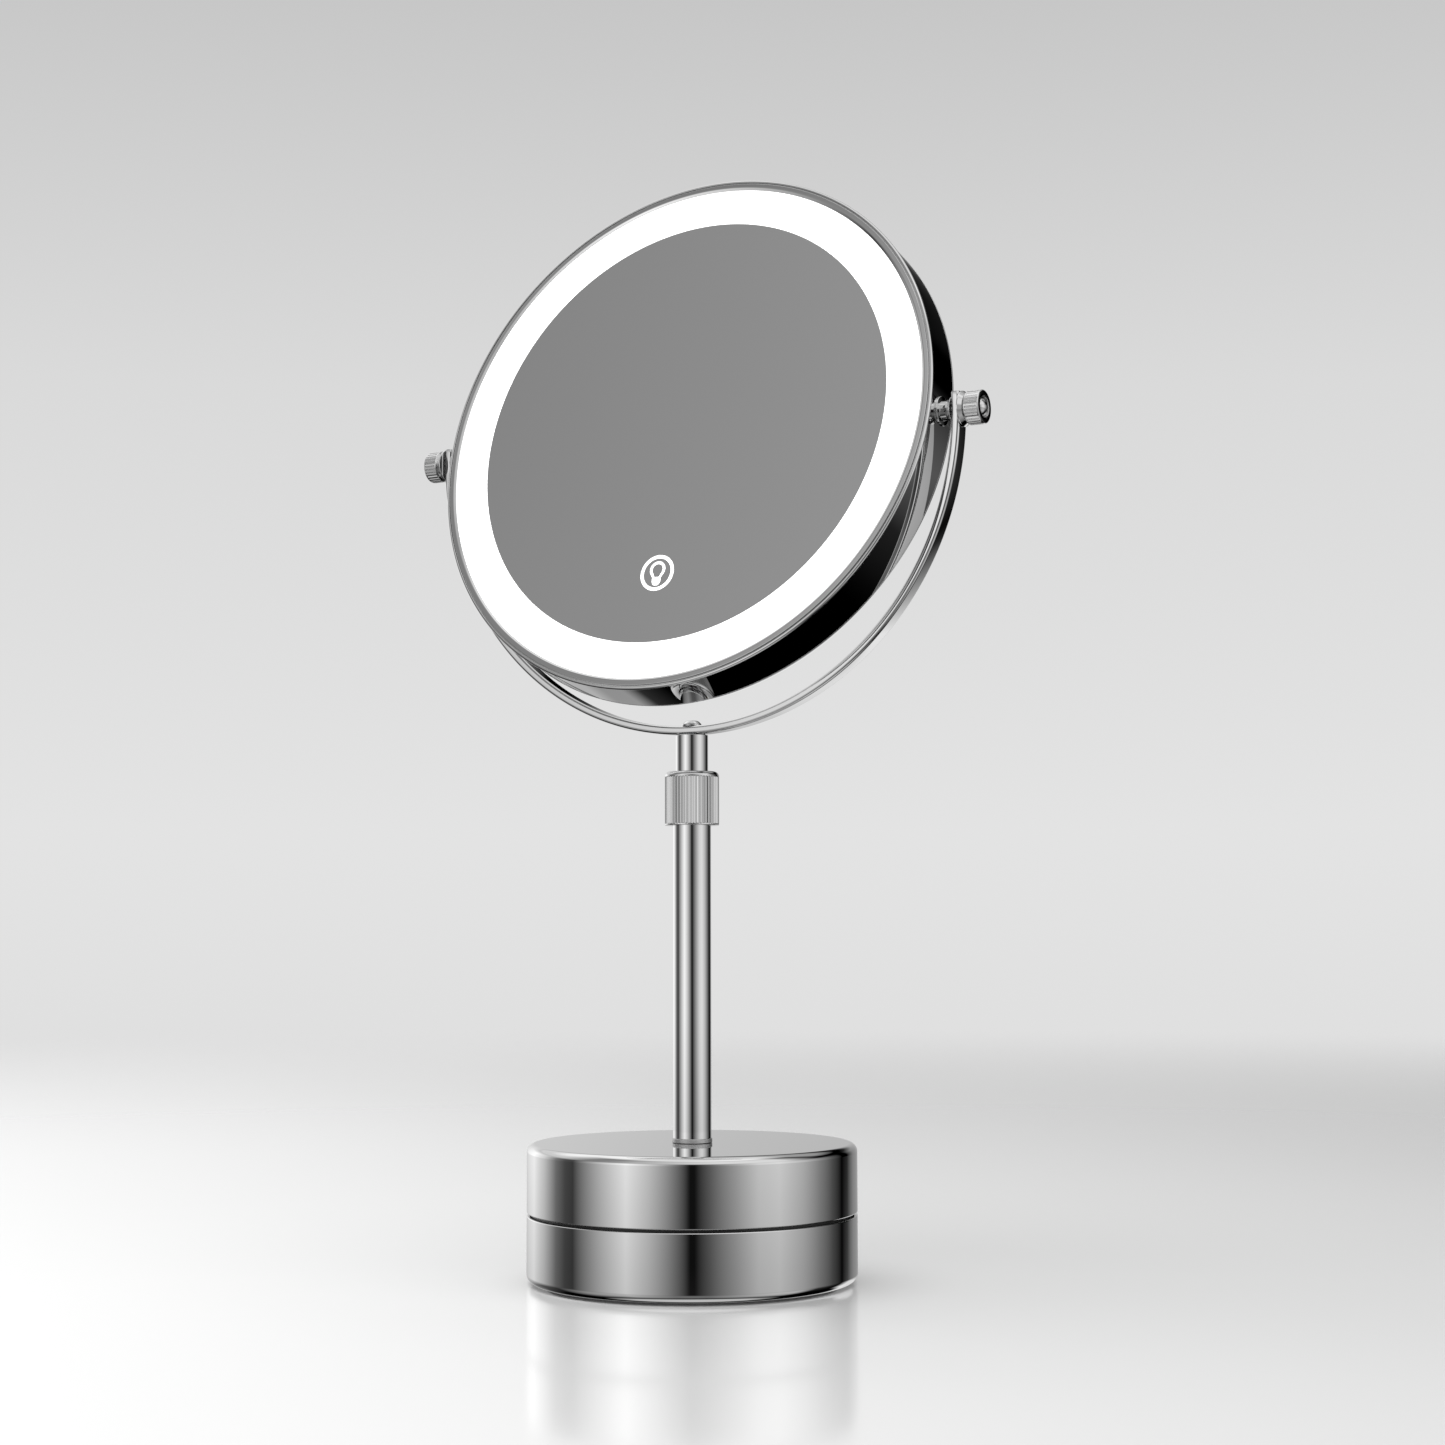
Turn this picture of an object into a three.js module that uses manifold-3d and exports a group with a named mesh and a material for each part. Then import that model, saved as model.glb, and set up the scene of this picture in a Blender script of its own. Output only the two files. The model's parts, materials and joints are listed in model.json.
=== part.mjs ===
// Extendable shaving mirror: a lit, double-sided round mirror in a yoke, on a telescopic pole
// that stands on a round battery base. Millimetres, +Z up, the lit face looks towards -Y.
// The origin is the middle of the base's underside.
import * as THREE from "three";
import { mergeVertices } from "three/addons/utils/BufferGeometryUtils.js";
import Module from "manifold-3d";

const wasm = await Module();
wasm.setup();

// ---- Driving dimensions ---------------------------------------------------------------------
const GAP = 0.3; // clearance between pieces that touch

const BASE_RADIUS = 60;
const BASE_HEIGHT = 50.1;
const BASE_SEAM = 25.1; // height of the groove between the two halves
const SEAM_WIDTH = 1.0;
const BASE_WALL = 1.2;
const BASE_FILLET = 3;
const PAD_RADIUS = 53;
const PAD_THICKNESS = 0.5;
const BALLAST_RADIUS = 55;
const BALLAST_THICKNESS = 12;

const CELL_RADIUS = 7.1; // AA cell
const CELL_LENGTH = 49.2;
const CELL_COUNT = 4;
const CELL_PITCH = 15.2;
const CELL_AXIS_Z = 35;
const TRAY_TOP = CELL_AXIS_Z + CELL_RADIUS + 2.2;

const OUTER_TUBE_RADIUS = 7;
const OUTER_TUBE_WALL = 0.7;
const INNER_TUBE_RADIUS = 6;
const INNER_TUBE_WALL = 0.9;
const COLLAR_RADIUS = 10;
const COLLAR_BOTTOM = 165.5;
const COLLAR_TOP = 185.3;
const COLLAR_SHOULDER = 1.7; // rounding above the flutes
const COLLAR_FLUTES = 48;
const FOOT_RING_TOP = BASE_HEIGHT + 1.4;
const INSERT_TOP = BASE_HEIGHT + 6; // how far the stud and the tube's insert reach up
const OUTER_TUBE_TOP = 177;
const INNER_TUBE_BOTTOM = 72;
const THREAD_RADIUS = 5; // M10 stud that holds the pole to the base
const LEAD_RADIUS = 1.1;

const PIVOT_HEIGHT = 309.3;
const TILT = THREE.MathUtils.degToRad(15.3); // the lit face looks up by this much
const YOKE_OUTER = 110.4;
const YOKE_INNER = 107.2;
const YOKE_DEPTH = 7;
const YOKE_ROUND = 1.0; // rounding of its long edges
const YOKE_END = THREE.MathUtils.degToRad(3.4); // how far its ends run above the pivot axis

const HEAD_RADIUS = 102.6;
const HEAD_FRONT = 10.5; // front and back of the head, from the pivot axis
const HEAD_BACK = -8.9;
const WALL_OUTER = 102;
const WALL_INNER = 100.8;
const GLASS_FRONT = 9.5;
const GLASS_THICKNESS = 2.8;
const MIRROR_RADIUS = 84.3;
const LIGHT_INNER = 84.6; // frosted ring of light
const WINDOW_RADIUS = 98.4; // clear opening of both bezels
const PANE_RADIUS = 99.5; // glass edge under the bezels
const BACK_MIRROR_SAG = 4.8; // hollow of the magnifying side
const TOUCH_KEY_Y = -58; // touch key below the middle of the glass

const STUD_RADIUS = 3.5;
const STUD_BOSS = 5.3; // the stud's seat against the head's wall
const STUD_THREAD = 2.2;
const KNOB_RADIUS = 6;
const FLANGE_RADIUS = 6.35; // cone washer between the yoke and the knob
const KNOB_START = 112.3;
const KNOB_END = 118.6;
const KNOB_FLUTES = 28;

const BIG = 48; // facets round the head's rings
const MEDIUM = 40; // facets round the base
const SMALL = 16; // facets round tubes, studs and screws

// ---- Finishes -------------------------------------------------------------------------------
const finish = (color, roughness, metalness) => ({ color, roughness, metalness });
const CHROME = finish(0xd2d4d6, 0.06, 1);
const STEEL = finish(0x9a9c9e, 0.35, 1);
const IRON = finish(0x4c4c4c, 0.7, 0.8);
const BRASS = finish(0xb89a52, 0.35, 1);
const NICKEL = finish(0xbfc0bc, 0.25, 1);
const BLACK_ABS = finish(0x1a1a1b, 0.55, 0);
const WHITE_ABS = finish(0xeeeeea, 0.5, 0);
const RUBBER = finish(0x242424, 0.9, 0);
const SILVERED = finish(0xc9cccd, 0.02, 1);
const FROSTED = finish(0xfdfdfa, 0.6, 0);
const BOARD = finish(0xf0f0ea, 0.45, 0);
const GREEN_BOARD = finish(0x1f5a3a, 0.5, 0);
const CELL_SLEEVE = finish(0x30506a, 0.4, 0.1);
const LEAD_SLEEVE = finish(0x2a2a2a, 0.6, 0);

// ---- Geometry helpers -----------------------------------------------------------------------

// Volume enclosed by an indexed triangle mesh, negative when its faces point inwards.
function signedVolume(points, index) {
  const [a, b, c] = [new THREE.Vector3(), new THREE.Vector3(), new THREE.Vector3()];
  let volume = 0;
  for (let i = 0; i < index.length; i += 3) {
    a.fromBufferAttribute(points, index[i]);
    b.fromBufferAttribute(points, index[i + 1]);
    c.fromBufferAttribute(points, index[i + 2]);
    volume += a.dot(b.cross(c)) / 6;
  }
  return volume;
}

// A closed, outward-facing mesh with its shared points merged and its slivers dropped.
function closed(geometry) {
  const bare = geometry.clone();
  bare.deleteAttribute("normal");
  bare.deleteAttribute("uv");
  const merged = mergeVertices(bare, 1e-4);
  const faces = merged.index.array;
  const index = [];
  for (let i = 0; i < faces.length; i += 3) {
    const [a, b, c] = faces.slice(i, i + 3);
    if (a !== b && b !== c && c !== a) index.push(a, b, c);
  }
  if (signedVolume(merged.attributes.position, index) < 0) index.reverse();
  merged.setIndex(index);
  return merged;
}

function toManifold(geometry) {
  const shape = closed(geometry);
  return new wasm.Manifold(new wasm.Mesh({
    numProp: 3,
    vertProperties: new Float32Array(shape.attributes.position.array),
    triVerts: new Uint32Array(shape.index.array),
  }));
}

function fromManifold(solid) {
  const mesh = solid.getMesh();
  const geometry = new THREE.BufferGeometry();
  geometry.setAttribute("position", new THREE.BufferAttribute(mesh.vertProperties, 3));
  geometry.setIndex(new THREE.BufferAttribute(mesh.triVerts, 1));
  return geometry;
}

// Combines one geometry with others by "add", "subtract" or "intersect".
function combine(operation, first, ...others) {
  const result = others.reduce((solid, other) => solid[operation](toManifold(other)), toManifold(first));
  return fromManifold(result);
}
const join = (...pieces) => combine("add", ...pieces);
const cut = (...pieces) => combine("subtract", ...pieces);
const common = (...pieces) => combine("intersect", ...pieces);

// A body turned about Z from [radius, height] points; a ring's outline closes on itself.
function turned(outline, facets = SMALL) {
  const points = outline.map(([radius, height]) => new THREE.Vector2(radius, height));
  const first = points[0];
  if (first.x > 0 || points.at(-1).x > 0) points.push(first.clone());
  return closed(new THREE.LatheGeometry(points, facets).rotateX(Math.PI / 2));
}

const rod = (radius, low, high, facets) => turned([[0, low], [radius, low], [radius, high], [0, high]], facets);

const ring = (inner, outer, low, high, facets) =>
  turned([[inner, low], [outer, low], [outer, high], [inner, high]], facets);

// A hexagonal nut with a round bore.
const nut = (bore, cornerRadius, low, high) => cut(rod(cornerRadius, low, high, 6), rod(bore, low - 1, high + 1));

function block(x0, x1, y0, y1, z0, z1) {
  const box = new THREE.BoxGeometry(Math.abs(x1 - x0), Math.abs(y1 - y0), Math.abs(z1 - z0));
  return box.translate((x0 + x1) / 2, (y0 + y1) / 2, (z0 + z1) / 2);
}

// Points of a quarter circle, for a rounded corner.
function corner(centreR, centreZ, radius, fromDegrees, toDegrees, steps = 3) {
  return Array.from({ length: steps + 1 }, (_, i) => {
    const angle = THREE.MathUtils.degToRad(fromDegrees + ((toDegrees - fromDegrees) * i) / steps);
    return [centreR + radius * Math.cos(angle), centreZ + radius * Math.sin(angle)];
  });
}

// A round bar with straight flutes, along Z.
function fluted(radius, depth, flutes, low, high) {
  const shape = new THREE.Shape();
  for (let i = 0; i < flutes * 2; i += 1) {
    const angle = (Math.PI * i) / flutes;
    const r = i % 2 ? radius - depth : radius;
    shape[i ? "lineTo" : "moveTo"](r * Math.cos(angle), r * Math.sin(angle));
  }
  shape.closePath();
  return new THREE.ExtrudeGeometry(shape, { depth: high - low, bevelEnabled: false }).translate(0, 0, low);
}

// A thin round lead along a smooth curve through its points.
function lead(points, steps) {
  const curve = new THREE.CatmullRomCurve3(points.map((point) => new THREE.Vector3(...point)));
  const section = new THREE.Shape();
  section.absarc(0, 0, LEAD_RADIUS, 0, Math.PI * 2);
  return new THREE.ExtrudeGeometry(section, { steps, curveSegments: 4, extrudePath: curve });
}

// Z becomes X for pieces on the pivot axis, and -Y for pieces in the head.
const alongPivot = (geometry) => geometry.rotateY(Math.PI / 2);
const facingFront = (geometry) => geometry.rotateX(Math.PI / 2);

function add(group, name, geometry, material) {
  const mesh = new THREE.Mesh(closed(geometry), new THREE.MeshStandardMaterial(material));
  mesh.geometry.computeVertexNormals();
  mesh.name = name;
  group.add(mesh);
}

// ---- Base -----------------------------------------------------------------------------------

// One half of the base drum: a cup whose closed end is rounded. It is made with its closed end
// at the bottom and is turned over for the upper half.
function baseCup(height) {
  const inner = BASE_RADIUS - BASE_WALL;
  return turned([
    [0, 0],
    ...corner(BASE_RADIUS - BASE_FILLET, BASE_FILLET, BASE_FILLET, -90, 0),
    [BASE_RADIUS, height],
    [inner, height],
    ...corner(inner - BASE_FILLET / 2, BASE_WALL + BASE_FILLET / 2, BASE_FILLET / 2, 0, -90, 2),
    [0, BASE_WALL],
  ], MEDIUM);
}

function addBaseShells(group) {
  const lowerBottom = PAD_THICKNESS + GAP;
  const lowerTop = BASE_SEAM - SEAM_WIDTH / 2;
  const upperBottom = BASE_SEAM + SEAM_WIDTH / 2;
  add(group, "base_pad", rod(PAD_RADIUS, 0, PAD_THICKNESS, MEDIUM), RUBBER);
  add(group, "base_lower_shell", baseCup(lowerTop - lowerBottom).translate(0, 0, lowerBottom), CHROME);

  const ballastBottom = lowerBottom + BASE_WALL + GAP;
  const ballast = rod(BALLAST_RADIUS, ballastBottom, ballastBottom + BALLAST_THICKNESS, MEDIUM);
  add(group, "ballast_disc", ballast, IRON);

  const upper = baseCup(BASE_HEIGHT - upperBottom).rotateX(Math.PI).translate(0, 0, BASE_HEIGHT);
  const hole = rod(THREAD_RADIUS + GAP, BASE_HEIGHT - 4, BASE_HEIGHT + 1);
  add(group, "base_upper_shell", cut(upper, hole), CHROME);

  // The ring joins the halves: its wall runs inside both and shows as the dark line between them.
  const outer = BASE_RADIUS - BASE_WALL - GAP;
  const bayonet = turned([
    [outer - 2, BASE_SEAM - 5], [outer, BASE_SEAM - 5], [outer, BASE_SEAM + 5],
    [outer - 4, BASE_SEAM + 5], [outer - 4, BASE_SEAM + 3], [outer - 2, BASE_SEAM + 3],
  ], MEDIUM);
  add(group, "bayonet_ring", bayonet, BLACK_ABS);
}

const cellX = (i) => (i - (CELL_COUNT - 1) / 2) * CELL_PITCH;

function addBattery(group) {
  const halfWidth = (CELL_COUNT * CELL_PITCH) / 2 + 1.5;
  const halfLength = CELL_LENGTH / 2 + 4.5;
  const pocketLength = CELL_LENGTH / 2 + 3;
  const pockets = Array.from({ length: CELL_COUNT }, (_, i) => {
    const trough = rod(CELL_RADIUS + GAP, -pocketLength, pocketLength).rotateX(Math.PI / 2);
    return trough.translate(cellX(i), 0, CELL_AXIS_Z);
  });
  const plateFace = CELL_LENGTH / 2 + 1.3 + GAP;
  const slots = [-1, 1].map((side) => block(-halfWidth + 2, halfWidth - 2, side * plateFace, side * pocketLength,
    CELL_AXIS_Z - 3, CELL_AXIS_Z + 3));
  const open = block(-halfWidth + 1.5, halfWidth - 1.5, -pocketLength, pocketLength, 20, CELL_AXIS_Z - 3);
  const hole = rod(THREAD_RADIUS + GAP, CELL_AXIS_Z, TRAY_TOP + 1);
  const body = block(-halfWidth, halfWidth, -halfLength, halfLength, CELL_AXIS_Z - CELL_RADIUS, TRAY_TOP);
  add(group, "battery_tray", cut(body, open, hole, ...slots, ...pockets), BLACK_ABS);

  for (let i = 0; i < CELL_COUNT; i += 1) {
    const cell = turned([
      [0, -CELL_LENGTH / 2], [CELL_RADIUS, -CELL_LENGTH / 2], [CELL_RADIUS, CELL_LENGTH / 2],
      [2.7, CELL_LENGTH / 2], [2.7, CELL_LENGTH / 2 + 1.3], [0, CELL_LENGTH / 2 + 1.3],
    ]);
    const facing = i % 2 ? 1 : -1; // cells in series lie head to tail
    add(group, `battery_cell_${i + 1}`, cell.rotateX((facing * Math.PI) / 2).translate(cellX(i), 0, CELL_AXIS_Z),
      CELL_SLEEVE);
  }

  for (const [name, side] of [["contact_plate_front", -1], ["contact_plate_back", 1]]) {
    const strip = block(-halfWidth + 5, halfWidth - 5, plateFace + 0.2, plateFace + 0.7,
      CELL_AXIS_Z - 2.2, CELL_AXIS_Z + 2.2);
    add(group, name, side > 0 ? strip : strip.rotateZ(Math.PI), NICKEL);
  }
}

// The stud is screwed up into the pole; washer and nut clamp the tray, shell and pole together.
function addPoleFixing(group) {
  const washerTop = BASE_HEIGHT - BASE_WALL - GAP;
  const nutBottom = TRAY_TOP + GAP;
  const bore = rod(LEAD_RADIUS + 1, nutBottom - 2, INSERT_TOP + 2, 12);
  add(group, "pole_stud", cut(rod(THREAD_RADIUS, nutBottom, INSERT_TOP), bore), STEEL);
  add(group, "pole_washer", ring(THREAD_RADIUS + GAP, 9, washerTop - 0.8, washerTop), STEEL);
  add(group, "pole_nut", nut(THREAD_RADIUS + GAP, 8.5, nutBottom, washerTop - 0.8 - GAP), STEEL);
  add(group, "pole_foot_ring", ring(THREAD_RADIUS + GAP, OUTER_TUBE_RADIUS, BASE_HEIGHT + GAP, FOOT_RING_TOP),
    CHROME);
}

// ---- Pole -----------------------------------------------------------------------------------

function addOuterPole(group) {
  const bottom = FOOT_RING_TOP + GAP;
  const bore = OUTER_TUBE_RADIUS - OUTER_TUBE_WALL;
  add(group, "outer_tube", ring(bore, OUTER_TUBE_RADIUS, bottom, OUTER_TUBE_TOP), CHROME);
  add(group, "tube_insert", ring(THREAD_RADIUS + GAP, bore - GAP, bottom, INSERT_TOP), STEEL);

  // The split collet grips the inner tube when the collar presses on its cone.
  const collet = turned([
    [INNER_TUBE_RADIUS + GAP, OUTER_TUBE_TOP + GAP], [OUTER_TUBE_RADIUS, OUTER_TUBE_TOP + GAP],
    [OUTER_TUBE_RADIUS, OUTER_TUBE_TOP + 3], [INNER_TUBE_RADIUS + 0.7, COLLAR_TOP - 2.2],
    [INNER_TUBE_RADIUS + GAP, COLLAR_TOP - 2.2],
  ]);
  const split = block(0, 10, -0.4, 0.4, OUTER_TUBE_TOP - 1, COLLAR_TOP);
  add(group, "collet", cut(collet, split), BRASS);
}

function addCollar(group) {
  const bore = OUTER_TUBE_RADIUS + GAP;
  const neck = INNER_TUBE_RADIUS + GAP;
  const body = turned([
    [bore, COLLAR_BOTTOM], [COLLAR_RADIUS - 0.5, COLLAR_BOTTOM], [COLLAR_RADIUS, COLLAR_BOTTOM + 0.5],
    ...corner(COLLAR_RADIUS - COLLAR_SHOULDER, COLLAR_TOP - COLLAR_SHOULDER, COLLAR_SHOULDER, 0, 90),
    [neck, COLLAR_TOP], [neck, COLLAR_TOP - 1.9], [bore, COLLAR_TOP - 1.9],
  ], COLLAR_FLUTES);
  add(group, "lock_collar", common(body, fluted(COLLAR_RADIUS, 0.4, COLLAR_FLUTES, COLLAR_BOTTOM - 1,
    COLLAR_TOP + 1)), CHROME);
}

function addRiser(group) {
  const top = PIVOT_HEIGHT - YOKE_OUTER - GAP;
  const bore = INNER_TUBE_RADIUS - INNER_TUBE_WALL;
  add(group, "inner_tube", ring(bore, INNER_TUBE_RADIUS, INNER_TUBE_BOTTOM, top), CHROME);

  const plugBore = LEAD_RADIUS + 0.6;
  const slidePlug = turned([
    [plugBore, INNER_TUBE_BOTTOM - 2], [INNER_TUBE_RADIUS, INNER_TUBE_BOTTOM - 2],
    [INNER_TUBE_RADIUS, INNER_TUBE_BOTTOM - GAP], [bore - GAP, INNER_TUBE_BOTTOM - GAP],
    [bore - GAP, INNER_TUBE_BOTTOM + 8], [plugBore, INNER_TUBE_BOTTOM + 8],
  ]);
  add(group, "slide_plug", slidePlug, BLACK_ABS);
  add(group, "top_plug", ring(2.3, bore - GAP, top - 14, top), STEEL);
}

// ---- Yoke -----------------------------------------------------------------------------------

// A bar bent to part of a circle in the XZ plane, with its middle at the pivot height.
function arcBar(inner, outer, depth, from, to, round = 0) {
  const shape = new THREE.Shape();
  shape.absarc(0, 0, outer, from, to, false);
  shape.absarc(0, 0, inner, to, from, true);
  shape.closePath();
  const geometry = new THREE.ExtrudeGeometry(shape, {
    depth: depth - 2 * round, curveSegments: 28,
    bevelEnabled: round > 0, bevelThickness: round, bevelSize: round, bevelOffset: -round, bevelSegments: 1,
  });
  return geometry.translate(0, 0, round - depth / 2).rotateX(Math.PI / 2);
}

function addYoke(group) {
  const bar = arcBar(YOKE_INNER, YOKE_OUTER, YOKE_DEPTH, Math.PI - YOKE_END, 2 * Math.PI + YOKE_END, YOKE_ROUND);
  // The left half is hollow for the lead, and opens into the pivot hole and the bottom hole.
  const duct = arcBar(YOKE_INNER + 0.8, YOKE_OUTER - 0.8, YOKE_DEPTH - 2, Math.PI, 1.5 * Math.PI);
  const pivotHole = alongPivot(rod(2.6, -YOKE_OUTER - 5, YOKE_OUTER + 5));
  const screwHole = rod(2.3, -YOKE_OUTER - 5, -YOKE_INNER + 5);
  add(group, "yoke", cut(bar, duct, pivotHole, screwHole), CHROME);

  const seat = -YOKE_INNER + GAP;
  const screw = turned([
    [0, -YOKE_OUTER - 10], [1.9, -YOKE_OUTER - 10], [1.9, seat], [3.5, seat], [3.5, seat + 0.5],
    [2.6, seat + 1.3], [1.3, seat + 1.7], [0, seat + 1.8],
  ]);
  add(group, "yoke_screw", screw, CHROME);
}

// ---- Pivots ---------------------------------------------------------------------------------

// One end of the pivot, made along +Z from the middle of the head outwards.
const PIVOT_PIECES = {
  pivot_stud: [() => turned([
    [0.9, WALL_INNER - 6], [STUD_RADIUS, WALL_INNER - 6], [STUD_RADIUS, WALL_OUTER + GAP],
    [STUD_BOSS, WALL_OUTER + GAP], [STUD_BOSS - 0.5, WALL_OUTER + 1.4], [STUD_RADIUS, WALL_OUTER + 1.6],
    [STUD_RADIUS, YOKE_INNER - GAP], [STUD_THREAD, YOKE_INNER - GAP], [STUD_THREAD, KNOB_END - 1.6],
    [0.9, KNOB_END - 1.6],
  ]), CHROME],
  pivot_nut: [() => nut(STUD_RADIUS + GAP, 5.2, WALL_INNER - 4, WALL_INNER - 1.2), STEEL],
  pivot_spacer: [() => turned([
    [STUD_RADIUS + GAP, YOKE_INNER - 2], [STUD_RADIUS + 0.6, YOKE_INNER - 2], [4.8, YOKE_INNER - GAP],
    [STUD_RADIUS + GAP, YOKE_INNER - GAP],
  ]), CHROME],
  knob_washer: [() => turned([
    [2.6, YOKE_OUTER + GAP], [FLANGE_RADIUS, YOKE_OUTER + GAP], [FLANGE_RADIUS, YOKE_OUTER + 0.6],
    [5.2, KNOB_START - GAP], [2.6, KNOB_START - GAP],
  ]), CHROME],
  clamp_knob: [() => {
    const body = turned([
      [2.6, KNOB_START], [5.6, KNOB_START], [KNOB_RADIUS, KNOB_START + 0.4], [KNOB_RADIUS, KNOB_END - 0.9],
      [KNOB_RADIUS - 0.9, KNOB_END], [4.1, KNOB_END], [4.1, KNOB_END - 1.2], [2.6, KNOB_END - 1.2],
    ], KNOB_FLUTES);
    return common(body, fluted(KNOB_RADIUS, 0.3, KNOB_FLUTES, KNOB_START - 1, KNOB_END + 1));
  }, CHROME],
  knob_cap: [() => turned([
    [0, KNOB_END - 0.9], [3.8, KNOB_END - 0.9], [3.8, KNOB_END], [2.6, KNOB_END + 0.7], [0, KNOB_END + 1],
  ]), CHROME],
};

function addPivots(group) {
  for (const [side, turn] of [["left", Math.PI], ["right", 0]]) {
    for (const [name, [build, material]] of Object.entries(PIVOT_PIECES)) {
      add(group, `${name}_${side}`, alongPivot(build()).rotateZ(turn), material);
    }
  }
}

// ---- Head -----------------------------------------------------------------------------------

// A bezel ring: a convex face over the glass edge and a spigot inside the wall. "sign" is 1 for
// the front and -1 for the back.
function bezel(face, sign) {
  const at = (depth) => face - sign * depth;
  return facingFront(turned([
    [WINDOW_RADIUS, at(0.75)], [WINDOW_RADIUS, at(0.4)], [WINDOW_RADIUS + 1.3, at(0)],
    [HEAD_RADIUS - 1, at(0.2)], [HEAD_RADIUS, at(0.9)], [HEAD_RADIUS, at(1.5)],
    [WALL_INNER - GAP, at(1.5)], [WALL_INNER - GAP, at(4)], [PANE_RADIUS + GAP, at(4)],
    [PANE_RADIUS + GAP, at(0.75)],
  ], BIG));
}

function addGlass(group) {
  const back = GLASS_FRONT - GLASS_THICKNESS;
  add(group, "front_bezel", bezel(HEAD_FRONT, 1), CHROME);
  add(group, "back_bezel", bezel(HEAD_BACK, -1), CHROME);
  add(group, "front_mirror", facingFront(rod(MIRROR_RADIUS, back, GLASS_FRONT, BIG)), SILVERED);
  add(group, "light_diffuser", facingFront(ring(LIGHT_INNER, PANE_RADIUS, back, GLASS_FRONT, BIG)), FROSTED);

  // The magnifying mirror is hollow: its middle lies deeper in the head than its edge.
  const rim = HEAD_BACK + 1.05;
  const steps = 3;
  const sag = (i) => [(PANE_RADIUS * i) / steps, rim + BACK_MIRROR_SAG * (1 - (i / steps) ** 2)];
  const face = Array.from({ length: steps + 1 }, (_, i) => sag(i));
  const reverse = face.map(([r, z]) => [r, z + 2]).reverse();
  add(group, "back_mirror", facingFront(turned([...face, ...reverse], BIG)), SILVERED);
}

function addHeadShell(group) {
  const wall = facingFront(ring(WALL_INNER, WALL_OUTER, HEAD_BACK + 1.8, HEAD_FRONT - 1.8, BIG));
  const holes = alongPivot(rod(STUD_RADIUS + GAP, -120, 120));
  add(group, "head_shell", cut(wall, holes), CHROME);
}

// The frame carries the light board and the glass; it is notched where the pivot studs come in.
function addFrame(group) {
  const floor = 1.8;
  const rim = GLASS_FRONT - GLASS_THICKNESS - GAP;
  const frame = facingFront(turned([
    [9, floor], [98.8, floor], [98.8, rim], [97.6, rim], [97.6, floor + 1.5], [83.8, floor + 1.5],
    [83.8, rim], [82.6, rim], [82.6, floor + 1.5], [9, floor + 1.5],
  ], BIG));
  const notches = [-1, 1].map((side) => block(side * 98 - 8, side * 98 + 8, -8, 8, -8, 8));
  add(group, "inner_frame", cut(frame, ...notches), WHITE_ABS);

  const boardBack = floor + 1.5 + GAP;
  const boardFront = boardBack + 1;
  const chips = 18;
  const board = ring(84.3, 88.6, boardBack, boardFront, BIG);
  const leds = Array.from({ length: chips }, (_, i) => {
    const chip = block(85.2, 87.8, -1.5, 1.5, boardFront - 0.3, boardFront + 0.7);
    return chip.rotateZ((2 * Math.PI * (i + 0.5)) / chips);
  });
  add(group, "led_ring_board", facingFront(join(board, ...leds)), BOARD);

  const driver = join(
    block(-22, 22, -14, 14, boardBack, boardFront),
    block(-16, -6, -6, 6, boardFront - 0.3, boardFront + 1.2),
    block(4, 14, -8, 2, boardFront - 0.3, boardFront + 1.6),
  );
  add(group, "driver_board", facingFront(driver.translate(0, 30, 0)), GREEN_BOARD);

  const sensor = rod(7.5, rim - 1.2, rim - GAP).translate(0, TOUCH_KEY_Y, 0);
  add(group, "touch_sensor", facingFront(sensor), BRASS);
}

// ---- Leads ----------------------------------------------------------------------------------

function addPoleLead(group) {
  const bottom = INNER_TUBE_BOTTOM - 1;
  const top = PIVOT_HEIGHT - YOKE_OUTER - 16;
  add(group, "pole_lead", lead([[0, 0, bottom], [0, 0, (bottom + top) / 2], [0, 0, top]], 4), LEAD_SLEEVE);
}

function addHeadLead(group) {
  const points = [[-93, 0, 0], [-80, 0.4, 4], [-50, 0.4, 14], [-24, 0.4, 22], [-8, 0.4, 20]];
  add(group, "head_lead", lead(points, 16).scale(1, 0.55, 1), LEAD_SLEEVE);
}

// ---- Assembly -------------------------------------------------------------------------------

const mirror = new THREE.Group();
addBaseShells(mirror);
addBattery(mirror);
addPoleFixing(mirror);
addOuterPole(mirror);
addCollar(mirror);
addRiser(mirror);
addPoleLead(mirror);

const yokeGroup = new THREE.Group();
yokeGroup.position.z = PIVOT_HEIGHT;
addYoke(yokeGroup);
mirror.add(yokeGroup);

const head = new THREE.Group();
head.position.z = PIVOT_HEIGHT;
head.rotation.x = -TILT;
addPivots(head);
addGlass(head);
addHeadShell(head);
addFrame(head);
addHeadLead(head);
mirror.add(head);

export default mirror;
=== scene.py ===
"""Looks of the extendable shaving mirror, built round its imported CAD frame.

Every turned, fluted or bent piece is made again here as a fine mesh in the frame's own place, and the
hidden pieces of the frame keep their solids and get their finishes. The object's own sizes are written
in millimetres, and the studio's and all points of meshes are in metres.
"""

import json
import logging
import math
from dataclasses import dataclass
from enum import Enum
from typing import ClassVar, Sequence

import bmesh
import bpy
from mathutils import Matrix, Vector


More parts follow.
